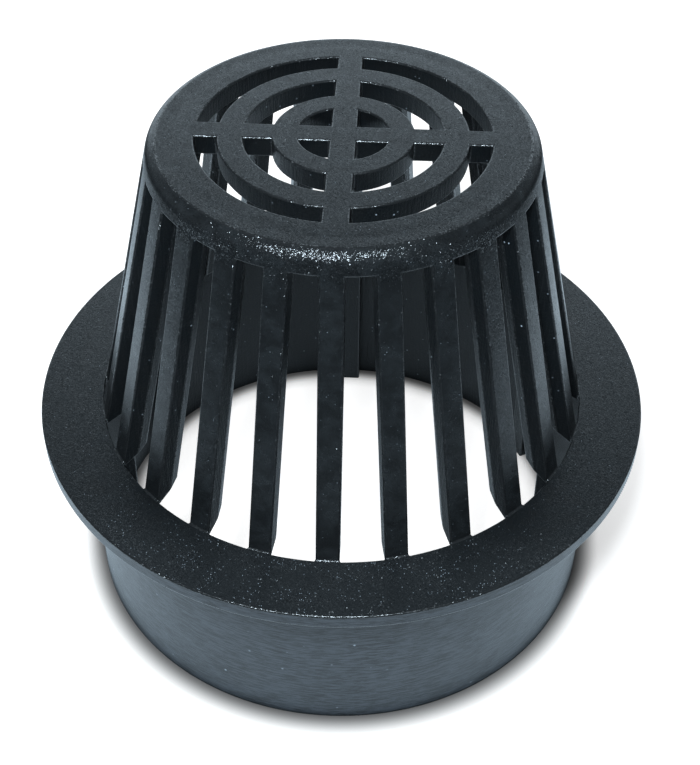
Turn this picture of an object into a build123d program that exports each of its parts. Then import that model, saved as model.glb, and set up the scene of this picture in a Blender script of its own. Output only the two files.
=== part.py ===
"""A domed drain grate that pushes into the open end of an upright drain pipe.

The whole grate is one moulding: a plain collar that goes into the pipe, a flat
flange that rests on the pipe's rim, and a cone of upright bars that ends in a flat top
with two ring slots and a cross of four spokes. Inside the collar six ribs carry the feet
of every fourth bar. Lengths are in millimetres. The origin is the middle of the collar's
lower rim, +Z is up the grate's axis, and one spoke lies on each half of X and Y.
"""

from build123d import *
import os
from math import hypot

# Heights
total_height = 153.6
flange_top = 64.2
flange_thickness = 4.6
slot_height = 83.0

# Collar and flange
flange_radius = 92.0
flange_edge_chamfer = 0.6
hole_edge_chamfer = 0.5
collar_radius = 79.6
bore_radius_top = 73.3
bore_radius_bottom = 74.7
rim_edge_chamfer = 0.4

# Cone of bars: the taper is how much its radius shrinks for each millimetre of height, and
# the crown is how far the round of the shoulder would rise over the flat top that cuts it
foot_radius = 73.0
cone_taper = 0.23
shoulder_radius = 4.8
shoulder_crown = 0.3
bar_count = 24
bar_depth = 7.3
ridge_depth = 4.2
bar_width_outside = 6.6
bar_width_at_ridge = 6.7
bar_width_inside = 4.6
foot_cut_height = 3.6
foot_cut_below = 2.3

# Flat top
plate_depth = 5.0
plate_corner = 3.0
spoke_count = 4
spoke_width = 7.1
outer_slot_radii = (39.9, 33.9)
inner_slot_radii = (26.9, 19.2)
eye_radius = 12.4
top_edge_chamfer = 0.4

# Ribs inside the collar
rib_count = 6
rib_width = 6.4
rib_radius_top = 69.1
rib_radius_bottom = 70.2
rib_above_flange = 1.0
rib_root = 1.5

# Worked out from the dimensions above
flange_underside = flange_top - flange_thickness
plate_underside = total_height - plate_depth
slot_top = flange_top + slot_height
foot_cut_top = flange_top + foot_cut_height
foot_cut_bottom = flange_top - foot_cut_below
crown_height = total_height + shoulder_crown
clearance = 3.0


def cone_radius(height):
    """Radius of the cone's outer face at a height above the collar's lower rim."""
    return foot_radius - cone_taper * (height - flange_top)


def inner_radius(height):
    """Radius of the bars' inner faces at a height above the collar's lower rim."""
    return cone_radius(height) - bar_depth


def corner(sketch, radius, height):
    """The sketch's corner nearest to a radius and height of the half section."""
    return sketch.vertices().sort_by_distance((radius, height))[0]


# The grate before its slots are cut is one turned form, drawn as its half section
with BuildPart() as shell:
    with BuildSketch(Plane.XZ) as half_section:
        with BuildLine():
            Polyline(
                (0, crown_height),
                (cone_radius(crown_height), crown_height),
                (foot_radius, flange_top),
                (flange_radius, flange_top),
                (flange_radius, flange_underside),
                (collar_radius, flange_underside),
                (collar_radius, 0),
                (bore_radius_bottom, 0),
                (bore_radius_top, foot_cut_bottom),
                (inner_radius(foot_cut_top), foot_cut_top),
                (inner_radius(plate_underside), plate_underside),
                (0, plate_underside),
                close=True,
            )
        make_face()
        fillet(corner(half_section, cone_radius(crown_height), crown_height), shoulder_radius)
        chamfer(corner(half_section, flange_radius, flange_top), flange_edge_chamfer)
        chamfer(corner(half_section, collar_radius, 0), rim_edge_chamfer)
        chamfer(corner(half_section, inner_radius(plate_underside), plate_underside), plate_corner)
        with Locations((0, total_height)):
            Rectangle(flange_radius, shoulder_crown, align=(Align.MIN, Align.MIN), mode=Mode.SUBTRACT)
    revolve(axis=Axis.Z)

# One bar, a straight stick along the cone's slope that is widest at a ridge on its sides
slope = Vector(-cone_taper, 0, 1).normalized()
bar_plane = Plane(
    origin=(foot_radius, 0, flange_top),
    x_dir=Vector(slope.Z, 0, -slope.X),
    z_dir=slope,
)
bar_length = slot_height * hypot(cone_taper, 1)
with BuildPart() as bar:
    with BuildSketch(bar_plane) as bar_section:
        with BuildLine():
            Polyline(
                (clearance, bar_width_outside / 2),
                (0, bar_width_outside / 2),
                (-ridge_depth, bar_width_at_ridge / 2),
                (-bar_depth, bar_width_inside / 2),
                (-bar_depth - clearance, bar_width_inside / 2),
                (-bar_depth - clearance, -bar_width_inside / 2),
                (-bar_depth, -bar_width_inside / 2),
                (-ridge_depth, -bar_width_at_ridge / 2),
                (0, -bar_width_outside / 2),
                (clearance, -bar_width_outside / 2),
                close=True,
            )
        make_face()
    extrude(amount=bar_length + clearance)
    extrude(bar_section.sketch, amount=-foot_cut_below - clearance)

# What is cut from the cone's wall: a band all round it, less the bars
with BuildPart() as side_slots:
    with BuildSketch(Plane.XZ):
        with BuildLine():
            Polyline(
                (foot_radius + clearance, flange_top),
                (foot_radius + clearance, slot_top),
                (inner_radius(slot_top) - clearance, slot_top),
                (inner_radius(foot_cut_bottom) - clearance, foot_cut_bottom),
                (bore_radius_top, foot_cut_bottom),
                (foot_radius, flange_top - hole_edge_chamfer),
                (foot_radius + hole_edge_chamfer, flange_top),
                close=True,
            )
        make_face()
    revolve(axis=Axis.Z)
    with PolarLocations(0, bar_count):
        add(bar.part, mode=Mode.SUBTRACT)

# One rib of the bore, thinner towards the lower rim
rib_top = flange_top + rib_above_flange
with BuildPart() as rib:
    with BuildSketch(Plane.XZ):
        with BuildLine():
            Polyline(
                (rib_radius_bottom, 0),
                (bore_radius_bottom + rib_root, 0),
                (bore_radius_top + rib_root, flange_underside),
                (cone_radius(rib_top) - rib_root / 2, rib_top),
                (rib_radius_top, rib_top),
                close=True,
            )
        make_face()
    extrude(amount=rib_width / 2, both=True)

with BuildPart() as atrium_grate:
    add(shell.part)
    add(side_slots.part, mode=Mode.SUBTRACT)

    # Two ring slots and a round eye, all crossed by the spokes
    with BuildSketch(Plane.XY.offset(total_height)) as openings:
        for outer, inner in (outer_slot_radii, inner_slot_radii):
            Circle(outer)
            Circle(inner, mode=Mode.SUBTRACT)
        Circle(eye_radius)
        with PolarLocations(0, spoke_count // 2, angular_range=180):
            Rectangle(2 * flange_radius, spoke_width, mode=Mode.SUBTRACT)
    extrude(amount=-plate_depth, mode=Mode.SUBTRACT)

    top_face = atrium_grate.faces().sort_by(Axis.Z)[-1]
    opening_edges = [edge for wire in top_face.inner_wires() for edge in wire.edges()]
    chamfer(opening_edges, top_edge_chamfer)

    # Ribs up the bore, each under a bar and running into its foot
    with PolarLocations(0, rib_count, start_angle=90):
        add(rib.part)

atrium_grate.part.label = "atrium_grate"
os.makedirs("parts", exist_ok=True)
export_step(atrium_grate.part, "parts/atrium_grate.step")
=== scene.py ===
"""Visual model of the atrium grate: one black moulding on a plain white stage.

The grate's mesh is built from a sector of the cage, a quarter of the flat top and one rib
of the bore, each repeated about the axis by Geometry Nodes. Its edges are then rounded. Lengths
are in metres, the origin is the middle of the collar's lower rim and +Z is up the axis.
"""

from math import asin, atan, cos, pi, radians, sin

import bmesh
import bpy
from bpy.props import FloatProperty, FloatVectorProperty, IntProperty, PointerProperty
from mathutils import Matrix, Vector


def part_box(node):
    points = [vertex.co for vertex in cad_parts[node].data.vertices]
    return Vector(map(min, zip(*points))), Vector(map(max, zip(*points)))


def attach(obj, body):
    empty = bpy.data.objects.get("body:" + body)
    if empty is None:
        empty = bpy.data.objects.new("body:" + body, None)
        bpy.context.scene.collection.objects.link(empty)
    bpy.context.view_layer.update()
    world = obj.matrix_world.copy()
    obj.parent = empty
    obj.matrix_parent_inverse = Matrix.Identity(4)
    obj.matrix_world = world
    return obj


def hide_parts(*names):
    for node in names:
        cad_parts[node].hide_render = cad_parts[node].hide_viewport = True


bl_info = {
    "name": "Atrium Grate Looks",
    "version": (1, 0, 0),
    "blender": (4, 5, 0),
    "location": "View3D > Sidebar > Grate",
    "description": "Builds the visual model of a moulded atrium grate and its stage",
    "category": "Object",
}

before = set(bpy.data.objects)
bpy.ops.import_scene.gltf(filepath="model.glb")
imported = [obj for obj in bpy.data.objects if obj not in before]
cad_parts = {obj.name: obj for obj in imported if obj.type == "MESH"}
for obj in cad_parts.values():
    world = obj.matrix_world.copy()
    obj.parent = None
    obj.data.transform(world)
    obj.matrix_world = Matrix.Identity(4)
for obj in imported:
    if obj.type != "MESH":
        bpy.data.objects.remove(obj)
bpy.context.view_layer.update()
NODE = "atrium_grate"
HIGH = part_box(NODE)[1]

MM = 0.001
SECTOR_HALF_ANGLE = pi / 24
BAR_STEPS = 2
SLOT_STEPS = 3
SECTOR_STEPS = BAR_STEPS + SLOT_STEPS
SHOULDER_STEPS = 8
SECTOR_COLUMNS = range(-SECTOR_STEPS, SECTOR_STEPS + 1)
MERGE_DISTANCE = 0.01 * MM
FLOOR_HALF = 6.0
FLASH_SIDE = 0.07
FLASH_LEAN = -0.09
FRONT_BLEND = 0.15
OUTER, FLANGE, COLLAR, INNER = range(4)
FINISHES = ("Outer Material", "Flange Material", "Collar Material", "Inner Material")
EDGE_FINISH = "rounded_edge_plastic"
INNER_FINISH = "inner_black_plastic"
LIGHT_TINT = (0.74, 0.89, 1.0)
WHITE = (1.0, 1.0, 1.0)
BLACK = (0.0, 0.0, 0.0)
SCATTER = 7919.0

# Least angle at which an edge is rounded, and its share of the rounding
SHARP_EDGES = (radians(35), 1.0)
BLUNT_EDGES = (radians(12), 0.7)


def millimetres(name, description, value):
    """A length property with its default given in millimetres."""
    return FloatProperty(
        name=name,
        description=description,
        default=value * MM,
        subtype="DISTANCE",
        unit="LENGTH",
        precision=5,
    )


def degrees(name, description, value):
    """An angle property with its default given in degrees."""
    return FloatProperty(name=name, description=description, default=radians(value), subtype="ANGLE")


def share(name, description, value):
    """A property from 0 to 1."""
    return FloatProperty(
        name=name, description=description, subtype="FACTOR", default=value, min=0, max=1
    )


def strength(name, description, value):
    """A number property that is never negative."""
    return FloatProperty(name=name, description=description, default=value, min=0)


def colour(name, description, value):
    """A colour property."""
    return FloatVectorProperty(
        name=name, description=description, subtype="COLOR", size=3, default=value, min=0, max=1
    )


def numbers(name, description, *values, unit="NONE"):
    """A property that holds a row of numbers."""
    return FloatVectorProperty(
        name=name, description=description, size=len(values), default=values, unit=unit
    )


def count(name, description, value):
    """A property that counts like parts."""
    return IntProperty(name=name, description=description, default=value, min=1)


class GrateShape(bpy.types.PropertyGroup):
    """Sizes of the moulding."""

    total_height: millimetres("Height", "Lower rim to flat top", HIGH.z / MM)
    flange_radius: millimetres("Flange radius", "Outer radius of the flange", HIGH.x / MM)
    flange_top: millimetres("Flange top", "Height of the flange's upper face", 64.2)
    flange_thickness: millimetres("Flange thickness", "Thickness of the flange", 4.6)
    collar_radius: millimetres("Collar radius", "Outer radius of the collar", 79.6)
    bore_radius_top: millimetres("Bore radius, top", "Radius of the bore under the bars", 73.3)
    bore_radius_bottom: millimetres("Bore radius, bottom", "Radius of the bore at the lower rim", 74.7)
    foot_radius: millimetres("Foot radius", "Radius of the cone where it meets the flange", 73.0)
    cone_taper: share("Cone taper", "Shrinkage of the cone's radius for each unit of height", 0.23)
    slot_height: millimetres("Slot height", "Height of the slots between the bars", 83.0)
    shoulder_radius: millimetres("Shoulder radius", "Rounding between the cone and the flat top", 4.8)
    shoulder_crown: millimetres("Shoulder crown", "How far its round would rise over the flat top", 0.3)
    bar_depth: millimetres("Bar depth", "Depth of a bar, measured level", 7.3)
    ridge_depth: millimetres("Ridge depth", "Depth of the line where a bar is widest", 4.3)
    bar_width_outside: millimetres("Bar width, outside", "Width of a bar's outer face", 6.6)
    bar_width_at_ridge: millimetres("Bar width, ridge", "Width of a bar at its ridge", 6.7)
    bar_width_inside: millimetres("Bar width, inside", "Width of a bar's inner face", 4.6)
    foot_cut_height: millimetres("Foot cut height", "Height of the bars' inner feet over the flange", 3.6)
    foot_cut_below: millimetres("Foot cut depth", "Depth of the bars' feet under the flange's face", 2.3)
    plate_depth: millimetres("Top thickness", "Depth of the flat top's rings and spokes", 5.9)
    plate_corner: millimetres("Top corner", "Slope between the flat top's underside and the bars", 3.0)
    spoke_width: millimetres("Spoke width", "Width of a spoke of the flat top", 7.1)
    outer_slot_outside: millimetres("Outer slot, outside", "Outer radius of the outer ring slot", 39.9)
    outer_slot_inside: millimetres("Outer slot, inside", "Inner radius of the outer ring slot", 33.9)
    inner_slot_outside: millimetres("Inner slot, outside", "Outer radius of the inner ring slot", 26.9)
    inner_slot_inside: millimetres("Inner slot, inside", "Inner radius of the inner ring slot", 19.2)
    eye_radius: millimetres("Eye radius", "Radius of the middle opening", 12.4)
    edge_round: millimetres("Edge rounding", "Rounding of the sharpest edges", 0.55)
    bar_count: count("Bars", "Number of bars round the cage", 24)
    spoke_count: count("Spokes", "Number of spokes across the flat top", 4)
    rib_count: count("Ribs", "Number of ribs inside the collar", 6)
    rib_width: millimetres("Rib width", "Width of a rib of the bore", 6.4)
    rib_radius_top: millimetres("Rib radius, top", "Radius of a rib's inner face under the bars", 69.1)
    rib_radius_bottom: millimetres("Rib radius, bottom", "Radius of that face at the lower rim", 70.2)
    rib_above_flange: millimetres("Rib rise", "Height of a rib over the flange's upper face", 1.0)
    rib_root: millimetres("Rib root", "How far a rib runs into the wall behind it", 0.8)


class GrateFinish(bpy.types.PropertyGroup):
    """Colours and finish of the plastic."""

    base_colour: colour("Plastic", "Colour of the grained plastic", (0.0062, 0.0069, 0.0075))
    mottle_colour: colour("Mottle", "Colour of the plastic's paler patches", (0.0135, 0.0151, 0.0162))
    inner_colour: colour("Inner plastic", "Colour inside the cage", (0.0046, 0.0060, 0.0070))
    collar_colour: colour("Collar", "Colour of the collar's outer wall", (0.0045, 0.0054, 0.0068))
    bloom_colour: colour("Collar bloom", "Colour of its pale streaks", (0.0320, 0.0364, 0.0433))
    # This speck colour is also that of the painted glints on the flange's front.
    speck_colour: colour("Specks", "Colour of the dust specks", (0.42, 0.47, 0.52))
    roughness: share("Roughness", "Roughness of the plastic", 0.34)
    grit_size: millimetres("Grit size", "Size of the facets of the rough skin", 0.26)
    grain: share("Grain", "Strength of the blasted grain", 0.8)


class GrateStage(bpy.types.PropertyGroup):
    """Floor, lights and camera."""

    floor_colour: colour("Floor", "Colour of the floor as it is seen", (0.94, 0.82, 0.75))
    bounce_colour: colour("Floor bounce", "Colour of the floor in the grate's skin", (0.80, 0.86, 0.90))
    floor_glow: strength("Floor glow", "Light that the floor gives off by itself", 1.0)
    glow_radii: numbers(
        "Glow radii",
        "Distances from the axis where the glow is set",
        *(0.0, 0.066, 0.0745, 0.0800, 0.087, 0.13, 0.40),
        unit="LENGTH",
    )
    # The glow levels are lowest on both sides of the collar's wall: a painted shadow.
    glow_levels: numbers(
        "Glow levels",
        "Glow of the floor at those distances",
        *(0.80, 0.80, 0.20, 0.05, 0.52, 0.76, 0.85),
    )
    inner_glow: share("Inner glow", "Share of the glow inside the collar that lights the grate", 0.30)
    # Painted shadow: a dark ring on the floor round the collar's foot, seen only in reflections.
    foot_shadow: numbers(
        "Foot shadow", "Ends of the dark line that the collar's foot reflects", 0.0800, 0.0822, unit="LENGTH"
    )
    # The contact shadow set below is painted into the floor's colour and glow.
    contact_inside: numbers(
        "Contact inside", "Ends of the contact shadow inside the collar", 0.0690, 0.0745, unit="LENGTH"
    )
    contact_outside: numbers(
        "Contact outside", "Ends of the contact shadow round the collar", 0.0788, 0.0875, unit="LENGTH"
    )
    contact_level: share("Contact level", "Brightness of the floor in the contact shadow", 0.15)
    front_reach: millimetres("Front reach", "Distance in front where the floor's reflection is gone", 260)
    floor_reach: millimetres("Floor reach", "Distance all round where the floor's reflection is gone", 400)
    flash_power: strength("Flash", "Power of the small light in front", 3.5)
    flash_distance: millimetres("Flash distance", "Distance of the flash from the shoulder", 470)
    flash_angle: degrees("Flash height angle", "Angle of the flash over the floor", 50)
    card_distance: millimetres("Card distance", "Distance of the white cards behind", 450)
    card_width: millimetres("Card width", "Width of the white cards", 780)
    card_offset: millimetres("Card offset", "How far the cards stand to the right", -30)
    card_heights: numbers(
        "Card heights", "Heights of the cards' edges", 0.01, 0.425, 0.475, 0.66, unit="LENGTH"
    )
    card_levels: numbers("Card levels", "Brightness of the cards, from the lowest up", 1.22, 0.72, 0.02)
    fill_light: strength("Fill light", "Brightness of the whole surround", 0.28)
    gap_low: degrees("Gap, lower end", "Angle where the dark gap over the cards starts", 33)
    gap_high: degrees("Gap, upper end", "Angle where the dark gap over the cards ends", 49)
    gap_blend: degrees("Gap blend", "Half the angle over which the gap's ends are soft", 3)
    gap_depth: share("Gap depth", "Share of the fill light that the gap lacks", 0.90)
    camera_distance: millimetres("Camera distance", "Distance from the aimed point to the camera", 433.65)
    camera_turn: degrees("Camera turn", "Turn of the camera about the axis", 2.734)
    camera_height_angle: degrees("Camera height angle", "Angle of the camera over the floor", 42.964)
    camera_roll: degrees("Camera roll", "Roll of the camera", 0.441)
    aim_height: millimetres("Aim height", "Height on the axis that the camera aims at", 61.84)
    focal_length: strength("Focal length", "Focal length in millimetres", 71.59)
    camera_shift: numbers("Camera shift", "Shift of the picture to the right and up", 0.01203, 0.00344)


def cone_radius(shape, height):
    """Radius of the cone's outer face at a height."""
    return shape.foot_radius - shape.cone_taper * (height - shape.flange_top)


def inner_radius(shape, height):
    """Radius of the bars' inner faces at a height."""
    return cone_radius(shape, height) - shape.bar_depth


def across(radius, offset, height):
    """The point of a circle that lies an offset to the left of the X axis."""
    angle = asin(offset / radius)
    return Vector((radius * cos(angle), radius * sin(angle), height))


def column_point(radius, half_width, height, column, turn=0.0):
    """The point of a ring in one column of a sector: columns on the bar, then columns on the slot."""
    side = 1 if column >= 0 else -1
    step = abs(column)
    edge_angle = asin(half_width / radius)
    if step <= BAR_STEPS:
        angle = asin(half_width * step / BAR_STEPS / radius)
    else:
        angle = edge_angle + (SECTOR_HALF_ANGLE - edge_angle) * (step - BAR_STEPS) / SLOT_STEPS
    angle = turn + side * angle
    return Vector((radius * cos(angle), radius * sin(angle), height))


def shoulder_line(shape):
    """Half section of the shoulder, from the flat top down to the cone, as radius and height."""
    slope = atan(shape.cone_taper)
    centre_height = shape.total_height + shape.shoulder_crown - shape.shoulder_radius
    centre_radius = cone_radius(shape, centre_height) - shape.shoulder_radius / cos(slope)
    start = asin(1 - shape.shoulder_crown / shape.shoulder_radius)
    angles = [start + (slope - start) * step / SHOULDER_STEPS for step in range(SHOULDER_STEPS + 1)]
    return [
        (
            centre_radius + shape.shoulder_radius * cos(angle),
            centre_height + shape.shoulder_radius * sin(angle),
        )
        for angle in angles
    ]


def plate_inner_end(shape):
    """Radius where the flat top's underside ends."""
    return inner_radius(shape, shape.total_height - shape.plate_depth) - shape.plate_corner


class Patch:
    """A mesh under construction, whose points are made once for each key."""

    def __init__(self):
        self.mesh = bmesh.new()
        self.finish_layer = self.mesh.faces.layers.int.new("finish")
        self.points = {}

    def point(self, key, place):
        """Makes the vertex of a key at a place, the first time."""
        if key not in self.points:
            self.points[key] = self.mesh.verts.new(place)

    def face(self, keys, finish):
        """A face through the vertices of some keys, with the number of its finish."""
        self.mesh.faces.new([self.points[key] for key in keys])[self.finish_layer] = finish

    def finish(self, name):
        """The patch as a mesh data block."""
        data = bpy.data.meshes.new(name)
        self.mesh.to_mesh(data)
        self.mesh.free()
        return data


def strip(first, second, column):
    """Keys of the face between two rings over one column."""
    return [(*first, column), (*second, column), (*second, column + 1), (*first, column + 1)]


def turned_over(keys):
    """The keys of a face in the other sense, from the same first key."""
    return [keys[0], *keys[:0:-1]]


def on_bar(column):
    """Whether the faces from a column to the next are on the bar."""
    return -BAR_STEPS <= column < BAR_STEPS


def cage_sector(shape):
    """One bar with half a slot on each side, and its share of the shoulder, flange and collar."""
    patch = Patch()
    slot_top = shape.flange_top + shape.slot_height
    underside = shape.total_height - shape.plate_depth
    bar_half = shape.bar_width_outside / 2
    ridge_half = shape.bar_width_at_ridge / 2
    inner_half = shape.bar_width_inside / 2
    flange_underside = shape.flange_top - shape.flange_thickness
    bore_top = shape.flange_top - shape.foot_cut_below
    cut_top = shape.flange_top + shape.foot_cut_height

    outer = [
        *shoulder_line(shape),
        (cone_radius(shape, slot_top), slot_top),
        (shape.foot_radius, shape.flange_top),
        (shape.flange_radius, shape.flange_top),
        (shape.flange_radius, flange_underside),
        (shape.collar_radius, flange_underside),
        (shape.collar_radius, 0.0),
    ]
    top_row = SHOULDER_STEPS + 1
    foot_row = top_row + 1

    corner_foot = underside - shape.plate_corner
    chamfer_slope = (inner_radius(shape, corner_foot) - plate_inner_end(shape)) / shape.plate_corner
    inner = [
        (plate_inner_end(shape), underside, inner_half),
        (plate_inner_end(shape) + chamfer_slope * (underside - slot_top), slot_top, inner_half),
        (inner_radius(shape, corner_foot), corner_foot, inner_half),
        (inner_radius(shape, cut_top), cut_top, inner_half),
        (shape.bore_radius_top, bore_top, bar_half),
        (shape.bore_radius_bottom, 0.0, bar_half),
    ]
    slot_row, corner_row, cut_row, bore_row, rim_row = range(1, len(inner))
    for row, (radius, height) in enumerate(outer):
        for column in SECTOR_COLUMNS:
            patch.point(("outer", row, column), column_point(radius, bar_half, height, column))
    for row, (radius, height, half_width) in enumerate(inner):
        for column in SECTOR_COLUMNS:
            if row not in (corner_row, cut_row) or abs(column) <= BAR_STEPS:
                patch.point(("inner", row, column), column_point(radius, half_width, height, column))
    ridge_top_radius = cone_radius(shape, slot_top) - shape.ridge_depth
    cut_slope = (shape.bore_radius_top - inner_radius(shape, cut_top)) / (cut_top - bore_top)
    ridge_gap = shape.bore_radius_top - cone_radius(shape, bore_top) + shape.ridge_depth
    ridge_foot = bore_top + ridge_gap / (cut_slope - shape.cone_taper)
    ridge_foot_radius = cone_radius(shape, ridge_foot) - shape.ridge_depth
    for side in (-1, 1):
        patch.point(("ridge", "top", side), across(ridge_top_radius, side * ridge_half, slot_top))
        patch.point(("ridge", "foot", side), across(ridge_foot_radius, side * ridge_half, ridge_foot))

    last_row = len(outer) - 1
    for row in range(last_row):
        finish = COLLAR if row > foot_row else FLANGE if row == foot_row else OUTER
        for column in SECTOR_COLUMNS[:-1]:
            if row != top_row or on_bar(column):
                patch.face(strip(("outer", row), ("outer", row + 1), column), finish)
    for row in range(rim_row):
        for column in SECTOR_COLUMNS[:-1]:
            if slot_row <= row <= cut_row and not on_bar(column):
                continue
            keys = turned_over(strip(("inner", row), ("inner", row + 1), column))
            if row == cut_row and column == BAR_STEPS - 1:
                keys.insert(2, ("ridge", "foot", 1))
            if row == cut_row and column == -BAR_STEPS:
                keys.append(("ridge", "foot", -1))
            patch.face(keys, INNER)
    for column in SECTOR_COLUMNS[:-1]:
        patch.face(strip(("outer", last_row), ("inner", rim_row), column), COLLAR)
        if on_bar(column):
            continue
        ceiling = strip(("outer", top_row), ("inner", slot_row), column)
        if column == BAR_STEPS:
            ceiling.insert(1, ("ridge", "top", 1))
        if column == -BAR_STEPS - 1:
            ceiling.insert(3, ("ridge", "top", -1))
        patch.face(ceiling, INNER)
        patch.face(turned_over(strip(("outer", foot_row), ("inner", bore_row), column)), INNER)
    for side in (-1, 1):
        edge = side * BAR_STEPS
        ridge = [("ridge", "foot", side), ("ridge", "top", side)]
        near_side = [("outer", top_row, edge), ("outer", foot_row, edge), ("inner", bore_row, edge), *ridge]
        far_side = [*ridge[::-1], *(("inner", row, edge) for row in (cut_row, corner_row, slot_row))]
        for keys in (near_side, far_side):
            patch.face(keys if side > 0 else keys[::-1], INNER)
    return patch.finish("cage_sector")


def quarter_angle(column, columns, radius, half):
    """Angle of a column of the flat top's quarter, on a ring crossed by spokes of a half width."""
    if column <= BAR_STEPS:
        return asin(half * column / BAR_STEPS / radius)
    if column >= columns - BAR_STEPS:
        return pi / 2 - asin(half * (columns - column) / BAR_STEPS / radius)
    passed = (column - BAR_STEPS) / (columns - 2 * BAR_STEPS)
    edge_angle = asin(half / radius)
    return edge_angle + (pi / 2 - 2 * edge_angle) * passed


def top_quarter(shape):
    """A quarter of the flat top, from the middle line of one spoke to that of the next."""
    patch = Patch()
    half = shape.spoke_width / 2
    columns = 2 * SECTOR_STEPS * (shape.bar_count // shape.spoke_count)
    radii = [
        shape.outer_slot_outside,
        shape.outer_slot_inside,
        shape.inner_slot_outside,
        shape.inner_slot_inside,
        shape.eye_radius,
    ]
    underside = shape.total_height - shape.plate_depth
    skins = {
        "upper": (shape.total_height, shoulder_line(shape)[0][0], shape.bar_width_outside / 2),
        "lower": (underside, plate_inner_end(shape), shape.bar_width_inside / 2),
    }
    for skin, (height, end_radius, bar_half) in skins.items():
        for column in range(columns + 1):
            sector = (column + SECTOR_STEPS) // (2 * SECTOR_STEPS)
            turn = 2 * SECTOR_HALF_ANGLE * sector
            own_column = column - sector * 2 * SECTOR_STEPS
            patch.point((skin, 0, column), column_point(end_radius, bar_half, height, own_column, turn))
            for ring, radius in enumerate(radii, start=1):
                angle = quarter_angle(column, columns, radius, half)
                patch.point((skin, ring, column), (radius * cos(angle), radius * sin(angle), height))
        for i in range(BAR_STEPS + 1):
            for j in range(BAR_STEPS + 1):
                patch.point((skin, "hub", i, j), (half * i / BAR_STEPS, half * j / BAR_STEPS, height))

    cells = []
    for ring in range(len(radii)):
        for column in range(columns):
            on_spoke = column < BAR_STEPS or column >= columns - BAR_STEPS
            if ring % 2 == 0 or on_spoke:
                cells.append(
                    [(ring, column), (ring, column + 1), (ring + 1, column + 1), (ring + 1, column)]
                )
    last = len(radii)
    for step in range(BAR_STEPS):
        far = columns - step
        first_hub = [("hub", BAR_STEPS, step + 1), ("hub", BAR_STEPS, step)]
        cells.append([(last, step), (last, step + 1), *first_hub])
        next_hub = [("hub", step, BAR_STEPS), ("hub", step + 1, BAR_STEPS)]
        cells.append([(last, far - 1), (last, far), *next_hub])
        for other in range(BAR_STEPS):
            near = [("hub", step, other), ("hub", step + 1, other)]
            cells.append([*near, ("hub", step + 1, other + 1), ("hub", step, other + 1)])
    for cell in cells:
        patch.face([("upper", *key) for key in cell], OUTER)
        patch.face([("lower", *key) for key in reversed(cell)], INNER)

    ways = dict.fromkeys((a, b) for cell in cells for a, b in zip(cell, cell[1:] + cell[:1]))
    for a, b in ways:
        on_rim = a[0] == 0 and b[0] == 0
        places = [patch.points[("upper", *key)].co for key in (a, b)]
        on_middle_line = any(all(abs(place[axis]) < MERGE_DISTANCE for place in places) for axis in (0, 1))
        if (b, a) not in ways and not on_rim and not on_middle_line:
            patch.face([("upper", *b), ("upper", *a), ("lower", *a), ("lower", *b)], INNER)
    return patch.finish("top_quarter")


def bore_rib(shape):
    """One rib of the bore, thinner towards the lower rim."""
    rib_top = shape.flange_top + shape.rib_above_flange
    rim_root = 0.05 * MM
    outline = [
        (shape.rib_radius_bottom, 0.0),
        (shape.bore_radius_bottom + rim_root, 0.0),
        (shape.bore_radius_bottom + shape.rib_root, 2 * shape.rib_root),
        (shape.bore_radius_top + shape.rib_root, shape.flange_top - shape.flange_thickness),
        (cone_radius(shape, rib_top) - shape.rib_root, rib_top),
        (shape.rib_radius_top, rib_top),
    ]
    patch = Patch()
    half = shape.rib_width / 2
    for side in (-1, 1):
        for corner, (radius, height) in enumerate(outline):
            patch.point((side, corner), (radius, side * half, height))
    corners = range(len(outline))
    patch.face([(-1, corner) for corner in corners], INNER)
    patch.face([(1, corner) for corner in reversed(corners)], INNER)
    for corner in corners:
        following = (corner + 1) % len(outline)
        patch.face([(-1, following), (-1, corner), (1, corner), (1, following)], INNER)
    return patch.finish("bore_rib")


def add_socket(group, in_out, name, kind="NodeSocketFloat", default=None):
    """A named input or output on a node group."""
    socket = group.interface.new_socket(name=name, in_out=in_out, socket_type=kind)
    if default is not None:
        socket.default_value = default


def feed(node, inputs):
    """Gives a node's inputs their values or links."""
    for key, value in inputs.items():
        if isinstance(value, bpy.types.NodeSocket):
            node.id_data.links.new(value, node.inputs[key])
        else:
            node.inputs[key].default_value = value


def add_node(tree, kind, inputs=None, **settings):
    """A node with its settings and the values or links of its inputs."""
    node = tree.nodes.new(kind)
    for name, value in settings.items():
        setattr(node, name, value)
    feed(node, inputs or {})
    return node


def output_of(tree, kind, output, inputs=None, **settings):
    """One output of a new node."""
    return add_node(tree, kind, inputs, **settings).outputs[output]


def math_node(tree, operation, *values, clamp=False):
    """The result of a Math node on numbers or sockets."""
    return output_of(
        tree, "ShaderNodeMath", 0, dict(enumerate(values)), operation=operation, use_clamp=clamp
    )


def product(tree, first, second):
    """Two numbers multiplied."""
    return math_node(tree, "MULTIPLY", first, second)


def rest_of(tree, value):
    """What a value lacks of 1."""
    return math_node(tree, "SUBTRACT", 1.0, value)


def between(tree, amount, none, full):
    """The number that runs from one value to another as an amount runs from 0 to 1."""
    return math_node(tree, "MULTIPLY_ADD", amount, full - none, none)


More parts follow.
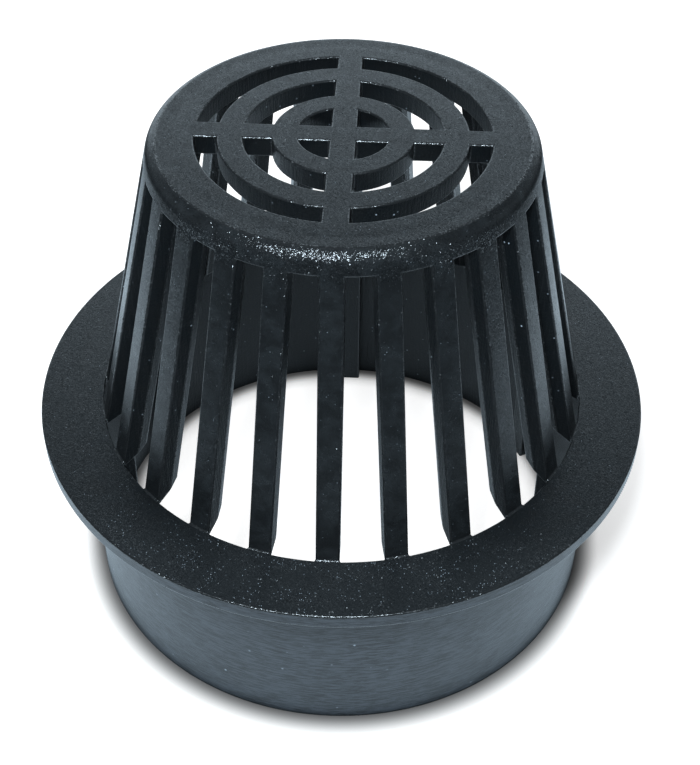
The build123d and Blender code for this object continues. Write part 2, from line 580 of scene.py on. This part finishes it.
def axis_pattern_tree():
    """A node tree that repeats a pattern object about the Z axis and joins it to what comes in."""
    tree = bpy.data.node_groups.new("Repeat About Axis", "GeometryNodeTree")
    tree.is_modifier = True
    add_socket(tree, "INPUT", "Geometry", "NodeSocketGeometry")
    add_socket(tree, "INPUT", "Pattern", "NodeSocketObject")
    add_socket(tree, "INPUT", "Count", "NodeSocketInt", 4)
    add_socket(tree, "INPUT", "Start Angle")
    add_socket(tree, "INPUT", "Merge Distance", default=MERGE_DISTANCE)
    for name in FINISHES:
        add_socket(tree, "INPUT", name, "NodeSocketMaterial")
    add_socket(tree, "OUTPUT", "Geometry", "NodeSocketGeometry")
    given = tree.nodes.new("NodeGroupInput").outputs

    pattern = output_of(tree, "GeometryNodeObjectInfo", "Geometry", {"Object": given["Pattern"]})
    points = output_of(tree, "GeometryNodePoints", "Points", {"Count": given["Count"]})
    index = tree.nodes.new("GeometryNodeInputIndex").outputs["Index"]
    passed = math_node(tree, "DIVIDE", index, given["Count"])
    angle = math_node(tree, "MULTIPLY_ADD", passed, 2 * pi, given["Start Angle"])
    turn = output_of(tree, "ShaderNodeCombineXYZ", "Vector", {"Z": angle})
    spread = {"Points": points, "Instance": pattern, "Rotation": turn}
    instances = output_of(tree, "GeometryNodeInstanceOnPoints", "Instances", spread)
    join = add_node(tree, "GeometryNodeJoinGeometry", {"Geometry": instances})
    tree.links.new(given["Geometry"], join.inputs["Geometry"])
    joined = {"Geometry": join.outputs["Geometry"]}
    whole = output_of(tree, "GeometryNodeRealizeInstances", "Geometry", joined)
    near = {"Geometry": whole, "Distance": given["Merge Distance"]}
    made = output_of(tree, "GeometryNodeMergeByDistance", "Geometry", near)
    finish = output_of(
        tree, "GeometryNodeInputNamedAttribute", "Attribute", {"Name": "finish"}, data_type="INT"
    )
    for number, name in enumerate(FINISHES):
        same = {"A": finish, "B": number}
        chosen = output_of(tree, "FunctionNodeCompare", "Result", same, data_type="INT", operation="EQUAL")
        painted = {"Geometry": made, "Selection": chosen, "Material": given[name]}
        made = output_of(tree, "GeometryNodeSetMaterial", "Geometry", painted)
    add_node(tree, "NodeGroupOutput", {"Geometry": made})
    return tree


def set_inputs(modifier, values):
    """Sets a Geometry Nodes modifier's inputs by the identifiers of their sockets."""
    for item in modifier.node_group.interface.items_tree:
        if item.in_out == "INPUT" and item.name in values:
            modifier[item.identifier] = values[item.name]


def new_object(name, data):
    """An object in the scene that holds some data."""
    made = bpy.data.objects.new(name, data)
    bpy.context.scene.collection.objects.link(made)
    return made


def evaluated_mesh(piece):
    """A plain mesh of what a piece's modifiers make."""
    bpy.context.view_layer.update()
    graph = bpy.context.evaluated_depsgraph_get()
    return bpy.data.meshes.new_from_object(
        piece.evaluated_get(graph), preserve_all_data_layers=True, depsgraph=graph
    )


def repeated(name, patterns, materials):
    """A plain mesh object made of patterns repeated about the axis: (mesh, count, start angle)."""
    tree = axis_pattern_tree()
    piece = new_object(name, bpy.data.meshes.new(name))
    holders = []
    for data, number, start in patterns:
        holder = new_object(data.name, data)
        holders.append(holder)
        modifier = piece.modifiers.new(data.name, "NODES")
        modifier.node_group = tree
        set_inputs(modifier, {"Pattern": holder, "Count": number, "Start Angle": start, **materials})
    built = evaluated_mesh(piece)
    piece.modifiers.clear()
    piece.data = built
    built.name = name
    for holder in holders:
        data = holder.data
        bpy.data.objects.remove(holder)
        bpy.data.meshes.remove(data)
    bpy.data.node_groups.remove(tree)
    return piece


def round_edges(piece, width, creases):
    """Rounds the edges of a closed piece. Creases give the least angle and the share of the width."""
    piece.data.materials.append(bpy.data.materials[EDGE_FINISH])
    bm = bmesh.new()
    bm.from_mesh(piece.data)
    bmesh.ops.recalc_face_normals(bm, faces=bm.faces)
    weights = bm.edges.layers.float.new("bevel_weight_edge")
    for edge in bm.edges:
        angle = abs(edge.calc_face_angle(0.0))
        for least, width_share in creases:
            if angle >= least:
                edge[weights] = width_share
                break
    for face in bm.faces:
        face.smooth = True
    bm.to_mesh(piece.data)
    bm.free()
    bevel = piece.modifiers.new("rounded edges", "BEVEL")
    bevel.limit_method = "WEIGHT"
    bevel.width = width
    bevel.segments = 3
    bevel.use_clamp_overlap = False
    bevel.harden_normals = True
    bevel.material = piece.data.materials.find(EDGE_FINISH)
    rounded = evaluated_mesh(piece)
    piece.modifiers.clear()
    old = piece.data
    piece.data = rounded
    bpy.data.meshes.remove(old)
    rounded.name = piece.name


def step_up(tree, value, low, high):
    """A smooth rise from 0 to 1 between two values."""
    inputs = {"Value": value, "From Min": low, "From Max": high}
    return output_of(tree, "ShaderNodeMapRange", "Result", inputs, interpolation_type="SMOOTHSTEP")


def mixed_colour(tree, factor, first, second, blend="MIX"):
    """The result of a Mix Color node on sockets or colours."""
    inputs = {0: factor, 6: first, 7: second}
    for key in (6, 7):
        if not isinstance(inputs[key], bpy.types.NodeSocket):
            inputs[key] = (*inputs[key], 1.0)
    return output_of(tree, "ShaderNodeMix", 2, inputs, data_type="RGBA", blend_type=blend)


def grey(tree, level):
    """A grey of a level."""
    return output_of(tree, "ShaderNodeCombineColor", 0, {0: level, 1: level, 2: level})


def vector_math(tree, operation, inputs, output="Vector"):
    """The result of a Vector Math node."""
    return output_of(tree, "ShaderNodeVectorMath", output, inputs, operation=operation)


def axis_part(tree, vector, axis):
    """One part of a vector."""
    return output_of(tree, "ShaderNodeSeparateXYZ", axis, {"Vector": vector})


def axis_distance(tree, vector):
    """How far a place is from the Z axis."""
    level = vector_math(tree, "MULTIPLY", {0: vector, 1: (1.0, 1.0, 0.0)})
    return vector_math(tree, "LENGTH", {0: level}, "Value")


def noise(tree, vector, size, detail, roughness, distortion=0.0):
    """The value of a Noise Texture node with forms of a size."""
    inputs = {
        "Vector": vector,
        "Scale": math_node(tree, "DIVIDE", 1.0, size),
        "Detail": detail,
        "Roughness": roughness,
        "Distortion": distortion,
    }
    return output_of(tree, "ShaderNodeTexNoise", "Fac", inputs)


def cells_of(tree, vector, size):
    """Outputs of a Voronoi Texture node with cells of a size."""
    inputs = {"Vector": vector, "Scale": math_node(tree, "DIVIDE", 1.0, size)}
    return add_node(tree, "ShaderNodeTexVoronoi", inputs, feature="F1").outputs


def shader_group(name, sizes, outputs):
    """An empty shader group that takes a vector and numbers, what it is given, and its last node."""
    group = bpy.data.node_groups.new(name, "ShaderNodeTree")
    add_socket(group, "INPUT", "Vector", "NodeSocketVector")
    for title, default in sizes.items():
        add_socket(group, "INPUT", title, default=default)
    for title in outputs:
        add_socket(group, "OUTPUT", title, "NodeSocketVector" if title == "Normal" else "NodeSocketFloat")
    given = group.nodes.new("NodeGroupInput").outputs
    return group, given, given["Vector"], group.nodes.new("NodeGroupOutput")


def grain_group(name):
    """Fine pits and bumps of the mould's blasted surface, with a slow mottle."""
    sizes = {"Grain Size": 0.5 * MM, "Mottle Size": 6 * MM}
    group, given, where, result = shader_group(name, sizes, ["Height", "Mottle"])
    cells = cells_of(group, where, given["Grain Size"])["Distance"]
    fine = noise(group, where, given["Grain Size"], 3.0, 0.65)
    slow = noise(group, where, given["Mottle Size"], 5.0, 0.62, 0.6)
    height = math_node(group, "MULTIPLY_ADD", cells, 0.35, fine)
    feed(result, {"Height": height, "Mottle": step_up(group, slow, 0.36, 0.68)})
    return group


def grit_group(name):
    """Tiny facets of the rough skin, each tilted its own way, with some that stand up more."""
    sizes = {"Grit Size": 0.4 * MM, "Tilt": 0.4, "Steep Tilt": 0.8, "Steep Share": 0.05}
    group, given, where, result = shader_group(name, sizes, ["Normal"])
    facets = cells_of(group, where, given["Grit Size"])
    lean = vector_math(group, "SUBTRACT", {0: facets["Color"], 1: (0.5, 0.5, 0.5)})
    place = vector_math(group, "SCALE", {0: facets["Position"], 3: SCATTER})
    chance = output_of(group, "ShaderNodeTexWhiteNoise", "Value", {"Vector": place}, noise_dimensions="3D")
    steep = math_node(group, "LESS_THAN", chance, given["Steep Share"])
    amount = math_node(group, "MULTIPLY_ADD", steep, given["Steep Tilt"], given["Tilt"])
    leaned = vector_math(group, "SCALE", {0: lean, 3: amount})
    face = group.nodes.new("ShaderNodeNewGeometry").outputs["Normal"]
    total = vector_math(group, "ADD", {0: face, 1: leaned})
    feed(result, {"Normal": vector_math(group, "NORMALIZE", {0: total})})
    return group


def sink_group(name):
    """The shallow ring that the flat top sinks into over the thick root of the cage."""
    sizes = {"Radius": 46.5 * MM, "Width": 3.2 * MM, "Depth": 1.1}
    group, given, where, result = shader_group(name, sizes, ["Height"])
    past = math_node(group, "SUBTRACT", axis_distance(group, where), given["Radius"])
    risen = step_up(group, math_node(group, "ABSOLUTE", past), 0.0, given["Width"])
    feed(result, {"Height": product(group, risen, given["Depth"])})
    return group


def speck_group(name):
    """Pale specks, more of them in some patches: dust, and painted glints where the amount is raised."""
    sizes = {"Spacing": 1.0 * MM, "Patch Size": 9 * MM, "Amount": 0.5}
    group, given, where, result = shader_group(name, sizes, ["Mask"])
    cells = cells_of(group, where, given["Spacing"])
    chance = output_of(group, "ShaderNodeSeparateColor", "Red", {"Color": cells["Color"]})
    patches = noise(group, where, given["Patch Size"], 3.0, 0.6)
    likely = product(group, step_up(group, patches, 0.38, 0.66), given["Amount"])
    chosen = step_up(group, math_node(group, "ADD", chance, likely), 0.97, 1.05)
    dot = rest_of(group, step_up(group, cells["Distance"], 0.10, 0.32))
    feed(result, {"Mask": product(group, dot, chosen)})
    return group


def streak_group(name):
    """Fine streaks that run round the axis, as the mould's turned wall leaves them."""
    sizes = {"Streak Height": 0.7 * MM, "Streak Length": 26 * MM}
    group, given, where, result = shader_group(name, sizes, ["Streaks"])
    parts = {}
    for axis, size in (("X", "Streak Length"), ("Y", "Streak Length"), ("Z", "Streak Height")):
        scale = math_node(group, "DIVIDE", 1.0, given[size])
        parts[axis] = product(group, axis_part(group, where, axis), scale)
    stretched = output_of(group, "ShaderNodeCombineXYZ", "Vector", parts)
    feed(result, {"Streaks": noise(group, stretched, 1.0, 4.0, 0.7, 0.5)})
    return group


def placed_group(tree, name, build, inputs):
    """Outputs of a shader group, built the first time, placed in a material with its own values."""
    group = bpy.data.node_groups.get(name) or build(name)
    return add_node(tree, "ShaderNodeGroup", inputs, node_tree=group).outputs


def blasted_grain(tree, where, size, mottle_size):
    """The height and mottle of the blasted grain."""
    inputs = {"Vector": where, "Grain Size": size, "Mottle Size": mottle_size}
    return placed_group(tree, "Blasted Grain", grain_group, inputs)


def tilted_grit(tree, where, size, tilt, steep_tilt, steep_share):
    """The normal of the rough skin's facets."""
    inputs = {
        "Vector": where,
        "Grit Size": size,
        "Tilt": tilt,
        "Steep Tilt": steep_tilt,
        "Steep Share": steep_share,
    }
    return placed_group(tree, "Tilted Grit", grit_group, inputs)["Normal"]


def turned_streaks(tree, where, height, length):
    """The level of the turned streaks."""
    inputs = {"Vector": where, "Streak Height": height, "Streak Length": length}
    return placed_group(tree, "Turned Streaks", streak_group, inputs)["Streaks"]


def dust_and_glints(tree, where, body, finish, spacing, patch_size, amount):
    """A colour with pale specks on it: dust, and painted glints where the amount is raised."""
    inputs = {"Vector": where, "Spacing": spacing, "Patch Size": patch_size, "Amount": amount}
    specks = placed_group(tree, "Pale Specks", speck_group, inputs)["Mask"]
    return mixed_colour(tree, specks, body, finish.speck_colour)


def new_material(name):
    """A material with nodes: its tree, its shader and the object's coordinates."""
    material = bpy.data.materials.new(name)
    material.use_nodes = True
    tree = material.node_tree
    where = tree.nodes.new("ShaderNodeTexCoord").outputs["Object"]
    return material, tree, tree.nodes["Principled BSDF"], where


def bumped(tree, height, depth, amount, **over):
    """The normal of a bump of a height, over another normal where one is given."""
    inputs = {"Height": height, "Distance": depth, "Strength": amount, **over}
    return output_of(tree, "ShaderNodeBump", "Normal", inputs)


def grained_plastic(shape, finish):
    """The blasted outer faces: the flat top, the gritty shoulder and the bars."""
    material, tree, shader, where = new_material("grained_black_plastic")
    grain = blasted_grain(tree, where, 0.32 * MM, 5 * MM)
    body = mixed_colour(tree, grain["Mottle"], finish.base_colour, finish.mottle_colour)
    colours = dust_and_glints(tree, where, body, finish, spacing=0.45 * MM, patch_size=8 * MM, amount=0.03)
    slot_top = shape.flange_top + shape.slot_height
    height = axis_part(tree, where, "Z")
    over_slots = step_up(tree, height, slot_top - 4 * MM, slot_top + 1 * MM)
    flat_top = step_up(tree, height, shape.total_height - 0.5 * MM, shape.total_height)
    front = step_up(tree, axis_part(tree, where, "Y"), -25 * MM, -47 * MM)
    round_part = math_node(tree, "SUBTRACT", over_slots, flat_top, clamp=True)
    shoulder = product(tree, round_part, front)
    rough = between(tree, grain["Mottle"], finish.roughness - 0.02, finish.roughness - 0.07)
    shinier = math_node(tree, "MULTIPLY_ADD", shoulder, -0.10, rough)
    tilt = between(tree, shoulder, 0.14, 0.44)
    steep_share = between(tree, shoulder, 0.008, 0.118)
    skin = tilted_grit(tree, where, finish.grit_size, tilt, 1.0, steep_share)
    sink = placed_group(tree, "Sink Mark", sink_group, {"Vector": where})["Height"]
    sunken = math_node(tree, "ADD", grain["Height"], sink)
    normal = bumped(tree, sunken, 0.08 * MM, 0.65 * finish.grain, Normal=skin)
    feed(shader, {"Base Color": colours, "Roughness": shinier, "Normal": normal})
    return material


def flange_plastic(finish):
    """The flange's upper face: darker than the cage and grittier in front, where it is also paler and more
    specked as painted light and painted glints.
    """
    material, tree, shader, where = new_material("gritty_flange_plastic")
    grain = blasted_grain(tree, where, 0.6 * MM, 4 * MM)
    patches = step_up(tree, noise(tree, where, 11 * MM, 3.0, 0.6), 0.40, 0.62)
    in_front = step_up(tree, axis_part(tree, where, "Y"), -52 * MM, -78 * MM)
    grit_and_glints = product(tree, in_front, between(tree, patches, 0.5, 1.0))
    dark = mixed_colour(tree, grain["Mottle"], finish.inner_colour, finish.base_colour)
    # Painted light: the flange's front is paler than the rest.
    body = mixed_colour(tree, in_front, dark, finish.mottle_colour)
    # Painted glints: many more pale specks in front, over the real grit.
    amount = between(tree, grit_and_glints, 0.04, 0.38)
    colours = dust_and_glints(tree, where, body, finish, spacing=0.5 * MM, patch_size=6 * MM, amount=amount)
    rough = between(tree, grain["Mottle"], finish.roughness + 0.02, finish.roughness - 0.06)
    tilt = between(tree, grit_and_glints, 0.18, 0.48)
    steep_share = between(tree, grit_and_glints, 0.01, 0.21)
    skin = tilted_grit(tree, where, finish.grit_size, tilt, 1.3, steep_share)
    normal = bumped(tree, grain["Height"], 0.08 * MM, finish.grain, Normal=skin)
    feed(shader, {"Base Color": colours, "Roughness": rough, "Normal": normal})
    return material


def paint_foot_shade(tree, shader, where, lit_colour, smoothness):
    """Gives a shader its colour and smoothness, both gone in the last millimetre over the floor: the black
    there is painted contact shade.
    """
    lit = step_up(tree, axis_part(tree, where, "Z"), 0.3 * MM, 1.4 * MM)
    rough = rest_of(tree, product(tree, lit, smoothness))
    feed(shader, {"Base Color": mixed_colour(tree, lit, BLACK, lit_colour), "Roughness": rough})


def collar_plastic(finish):
    """The collar's outer wall: smoother, paler and streaked."""
    material, tree, shader, where = new_material("streaked_collar_plastic")
    streaks = turned_streaks(tree, where, height=0.5 * MM, length=5 * MM)
    grain = blasted_grain(tree, where, 0.6 * MM, 9 * MM)
    bloom = step_up(tree, streaks, 0.42, 0.61)
    pale = math_node(tree, "MULTIPLY_ADD", grain["Mottle"], 0.35, bloom, clamp=True)
    body = mixed_colour(tree, pale, finish.collar_colour, finish.bloom_colour)
    colours = dust_and_glints(tree, where, body, finish, spacing=1.6 * MM, patch_size=16 * MM, amount=0.03)
    smoothness = between(tree, streaks, 0.90 - finish.roughness, 1.06 - finish.roughness)
    # Painted contact shade: the collar's colour fades to black in the last millimetre over the floor.
    paint_foot_shade(tree, shader, where, colours, smoothness)
    height = math_node(tree, "MULTIPLY_ADD", streaks, 0.6, product(tree, grain["Height"], 0.25))
    feed(shader, {"Specular IOR Level": 0.40, "Normal": bumped(tree, height, 0.10 * MM, 0.9)})
    return material


def inner_plastic(finish):
    """The walls of the slots, the bars' inner sides, the bore and its ribs, with tool marks."""
    material, tree, shader, where = new_material(INNER_FINISH)
    grain = blasted_grain(tree, where, 0.7 * MM, 7 * MM)
    body = mixed_colour(tree, grain["Mottle"], finish.inner_colour, finish.base_colour)
    colours = dust_and_glints(tree, where, body, finish, spacing=1.1 * MM, patch_size=9 * MM, amount=0.05)
    grooves = turned_streaks(tree, where, height=14 * MM, length=1.1 * MM)
    facing = tree.nodes.new("ShaderNodeNewGeometry").outputs["Normal"]
    lying = step_up(tree, math_node(tree, "ABSOLUTE", axis_part(tree, facing, "Z")), 0.3, 0.6)
    depth = product(tree, rest_of(tree, lying), 2.5)
    height = math_node(tree, "MULTIPLY_ADD", grooves, depth, grain["Height"])
    normal = bumped(tree, height, 0.12 * MM, finish.grain)
    feed(shader, {"Base Color": colours, "Roughness": finish.roughness, "Normal": normal})
    feed(shader, {"Specular IOR Level": 0.38})
    return material


def edge_plastic(finish):
    """The rounded edges: smoother than the blasted faces, with a dotted shine."""
    material, tree, shader, where = new_material(EDGE_FINISH)
    # Painted contact shade: the edges' colour fades to black in the last millimetre over the floor.
    paint_foot_shade(tree, shader, where, finish.base_colour, 1.06 - finish.roughness)
    skin = tilted_grit(tree, where, finish.grit_size, 0.26, 0.6, 0.20)
    feed(shader, {"Specular IOR Level": 0.9, "Normal": skin})
    return material


class GrateOperator:
    """What the operators share."""

    bl_options = {"REGISTER", "UNDO"}


class OBJECT_OT_grate_moulding(GrateOperator, bpy.types.Operator):
    """Build the cage, flat top, flange and collar as one closed mesh"""

    bl_idname = "object.grate_moulding"
    bl_label = "Grate Moulding"

    def execute(self, context):
        shape = context.scene.grate_shape
        finish = context.scene.grate_finish
        materials = {
            "Outer Material": grained_plastic(shape, finish),
            "Flange Material": flange_plastic(finish),
            "Collar Material": collar_plastic(finish),
            "Inner Material": inner_plastic(finish),
        }
        patterns = [
            (cage_sector(shape), shape.bar_count, 0.0),
            (top_quarter(shape), shape.spoke_count, 0.0),
        ]
        piece = repeated("moulding", patterns, materials)
        edge_plastic(finish)
        round_edges(piece, shape.edge_round, [SHARP_EDGES, BLUNT_EDGES])
        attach(piece, "root")
        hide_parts(NODE)
        return {"FINISHED"}


class OBJECT_OT_grate_ribs(GrateOperator, bpy.types.Operator):
    """Build the ribs inside the collar"""

    bl_idname = "object.grate_ribs"
    bl_label = "Bore Ribs"

    def execute(self, context):
        shape = context.scene.grate_shape
        materials = {"Inner Material": bpy.data.materials[INNER_FINISH]}
        piece = repeated("bore_ribs", [(bore_rib(shape), shape.rib_count, pi / 2)], materials)
        round_edges(piece, shape.edge_round, [SHARP_EDGES])
        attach(piece, "root")
        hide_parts(NODE)
        return {"FINISHED"}


def floor_material(stage):
    """Matt white floor that also glows, with a contact shadow painted into its colour and glow where the
    collar stands on it.
    """
    material, tree, shader, where = new_material("white_floor")
    distance = axis_distance(tree, where)
    path = tree.nodes.new("ShaderNodeLightPath").outputs
    seen = path["Is Camera Ray"]
    unseen = rest_of(tree, seen)

    in_front = rest_of(tree, step_up(tree, axis_part(tree, where, "Y"), -FRONT_BLEND, 0.0))
    far_in_front = step_up(tree, distance, 0.35 * stage.front_reach, stage.front_reach)
    far_around = step_up(tree, distance, 0.55 * stage.floor_reach, stage.floor_reach)
    far = math_node(tree, "MAXIMUM", product(tree, far_in_front, in_front), far_around)
    kept = rest_of(tree, product(tree, far, path["Is Glossy Ray"]))

    # Painted contact shadow: the floor's colour and glow fade near both sides of the collar's wall for the
    # camera, and in a narrow ring at the foot for reflections.
    inside = rest_of(tree, step_up(tree, distance, *stage.contact_inside))
    open_floor = math_node(tree, "MAXIMUM", inside, step_up(tree, distance, *stage.contact_outside))
    shade = between(tree, open_floor, stage.contact_level, 1.0)
    past_foot = step_up(tree, distance, *stage.foot_shadow)
    reflected = product(tree, unseen, math_node(tree, "MAXIMUM", inside, past_foot))
    shown = product(tree, kept, math_node(tree, "MAXIMUM", shade, reflected))
    tone = mixed_colour(tree, seen, stage.bounce_colour, stage.floor_colour)

    # The glow ramp is lowest on both sides of the collar's wall: a painted shadow in the floor's glow.
    passed = math_node(tree, "DIVIDE", distance, stage.glow_radii[-1])
    ramp = add_node(tree, "ShaderNodeValToRGB", {"Fac": passed})
    ramp.color_ramp.elements.remove(ramp.color_ramp.elements[1])
    for number, (radius, glow) in enumerate(zip(stage.glow_radii, stage.glow_levels)):
        stop = ramp.color_ramp.elements[0] if number == 0 else ramp.color_ramp.elements.new(1.0)
        stop.position = radius / stage.glow_radii[-1]
        stop.color = (glow, glow, glow, 1.0)
    hidden = product(tree, product(tree, inside, unseen), 1 - stage.inner_glow)
    given_off = product(tree, shown, rest_of(tree, hidden))
    lit = product(tree, ramp.outputs["Color"], given_off)
    tint = mixed_colour(tree, seen, LIGHT_TINT, WHITE)
    inputs = {
        "Base Color": mixed_colour(tree, 1.0, grey(tree, shown), tone, "MULTIPLY"),
        "Roughness": 0.9,
        "Specular IOR Level": 0.1,
        "Emission Color": mixed_colour(tree, 1.0, grey(tree, lit), tint, "MULTIPLY"),
        "Emission Strength": stage.floor_glow,
    }
    feed(shader, inputs)
    return material


def add_floor(stage):
    """A large flat floor under the grate."""
    half = FLOOR_HALF
    data = bpy.data.meshes.new("floor")
    corners = [(-half, -half, 0), (half, -half, 0), (half, half, 0), (-half, half, 0)]
    data.from_pydata(corners, [], [(0, 1, 2, 3)])
    floor = new_object("floor", data)
    data.materials.append(floor_material(stage))


def studio_world(stage):
    """A pale surround with a darker gap over the cards, white where the camera sees it."""
    world = bpy.data.worlds.new("studio")
    world.use_nodes = True
    tree = world.node_tree
    shown = tree.nodes.new("ShaderNodeLightPath").outputs["Is Camera Ray"]
    direction = tree.nodes.new("ShaderNodeTexCoord").outputs["Generated"]
    height = axis_part(tree, direction, "Z")
    blend = stage.gap_blend
    over, past = (
        step_up(tree, height, sin(angle - blend), sin(angle + blend))
        for angle in (stage.gap_low, stage.gap_high)
    )
    gap = math_node(tree, "SUBTRACT", over, past)
    fill = between(tree, gap, stage.fill_light, (1 - stage.gap_depth) * stage.fill_light)
    tone = mixed_colour(tree, shown, LIGHT_TINT, WHITE)
    feed(tree.nodes["Background"], {"Color": tone, "Strength": math_node(tree, "MAXIMUM", shown, fill)})
    return world


def add_area_light(name, place, aim, size, brightness):
    """A rectangular light of a brightness that points at a place and isn't seen itself."""
    light = bpy.data.lights.new(name, "AREA")
    light.shape = "RECTANGLE"
    light.size, light.size_y = size
    light.energy = brightness * pi * size[0] * size[1]
    light.color = LIGHT_TINT
    holder = new_object(name, light)
    holder.location = place
    holder.rotation_euler = (Vector(aim) - Vector(place)).to_track_quat("-Z", "Y").to_euler()
    holder.visible_camera = False


def add_cards(stage):
    """White cards that stand behind the grate and shine in its flat top and flange."""
    edges = stage.card_heights
    for number, level in enumerate(stage.card_levels):
        height = (edges[number] + edges[number + 1]) / 2
        add_area_light(
            f"card_{number}",
            (stage.card_offset, stage.card_distance, height),
            (stage.card_offset, 0, height),
            (stage.card_width, edges[number + 1] - edges[number]),
            level,
        )


def add_flash(shape, stage):
    """A small hard light in front, a little to the left."""
    shoulder = Vector((0, -cone_radius(shape, shape.total_height), shape.total_height))
    ray = Vector((FLASH_LEAN, -cos(stage.flash_angle), sin(stage.flash_angle))).normalized()
    brightness = stage.flash_power / (pi * FLASH_SIDE**2)
    size = (FLASH_SIDE, FLASH_SIDE)
    add_area_light("flash", shoulder + ray * stage.flash_distance, shoulder, size, brightness)


def add_camera(stage):
    """The camera at the photograph's angle."""
    turn, rise, roll = stage.camera_turn, stage.camera_height_angle, stage.camera_roll
    back = Vector((sin(turn) * cos(rise), -cos(turn) * cos(rise), sin(rise)))
    right = Vector((cos(turn), sin(turn), 0))
    up = back.cross(right)
    rolled_right = right * cos(roll) + up * sin(roll)
    rolled_up = up * cos(roll) - right * sin(roll)
    camera = bpy.data.cameras.new("camera")
    camera.sensor_fit = "HORIZONTAL"
    camera.sensor_width = 36.0
    camera.lens = stage.focal_length
    camera.shift_x, camera.shift_y = stage.camera_shift
    camera.clip_start = 0.01
    holder = new_object("camera", camera)
    place = Vector((0, 0, stage.aim_height)) + back * stage.camera_distance
    pose = Matrix((rolled_right, rolled_up, back)).transposed().to_4x4()
    holder.matrix_world = Matrix.Translation(place) @ pose
    bpy.context.scene.camera = holder


class OBJECT_OT_grate_stage(GrateOperator, bpy.types.Operator):
    """Build the floor, the lights and the camera"""

    bl_idname = "object.grate_stage"
    bl_label = "Stage"

    def execute(self, context):
        stage = context.scene.grate_stage
        add_floor(stage)
        context.scene.world = studio_world(stage)
        add_cards(stage)
        add_flash(context.scene.grate_shape, stage)
        add_camera(stage)
        context.scene.view_settings.view_transform = "Standard"
        return {"FINISHED"}


class VIEW3D_PT_grate(bpy.types.Panel):
    """Builds the grate and its stage piece by piece"""

    bl_label = "Atrium Grate"
    bl_space_type = "VIEW_3D"
    bl_region_type = "UI"
    bl_category = "Grate"

    def draw(self, context):
        scene = context.scene
        for operator in OPERATORS:
            self.layout.operator(operator.bl_idname)
        for group in (scene.grate_shape, scene.grate_finish, scene.grate_stage):
            box = self.layout.box()
            for name in group.bl_rna.properties.keys():
                if name not in ("rna_type", "name"):
                    box.prop(group, name)


GROUPS = (GrateShape, GrateFinish, GrateStage)
OPERATORS = (OBJECT_OT_grate_moulding, OBJECT_OT_grate_ribs, OBJECT_OT_grate_stage)


def register():
    for cls in (*GROUPS, *OPERATORS, VIEW3D_PT_grate):
        bpy.utils.register_class(cls)
    bpy.types.Scene.grate_shape = PointerProperty(type=GrateShape)
    bpy.types.Scene.grate_finish = PointerProperty(type=GrateFinish)
    bpy.types.Scene.grate_stage = PointerProperty(type=GrateStage)


def unregister():
    del bpy.types.Scene.grate_stage
    del bpy.types.Scene.grate_finish
    del bpy.types.Scene.grate_shape
    for cls in reversed((*GROUPS, *OPERATORS, VIEW3D_PT_grate)):
        bpy.utils.unregister_class(cls)


def main():
    """Builds everything."""
    register()
    bpy.ops.object.grate_moulding()
    bpy.ops.object.grate_ribs()
    bpy.ops.object.grate_stage()


if __name__ == "__main__":
    main()
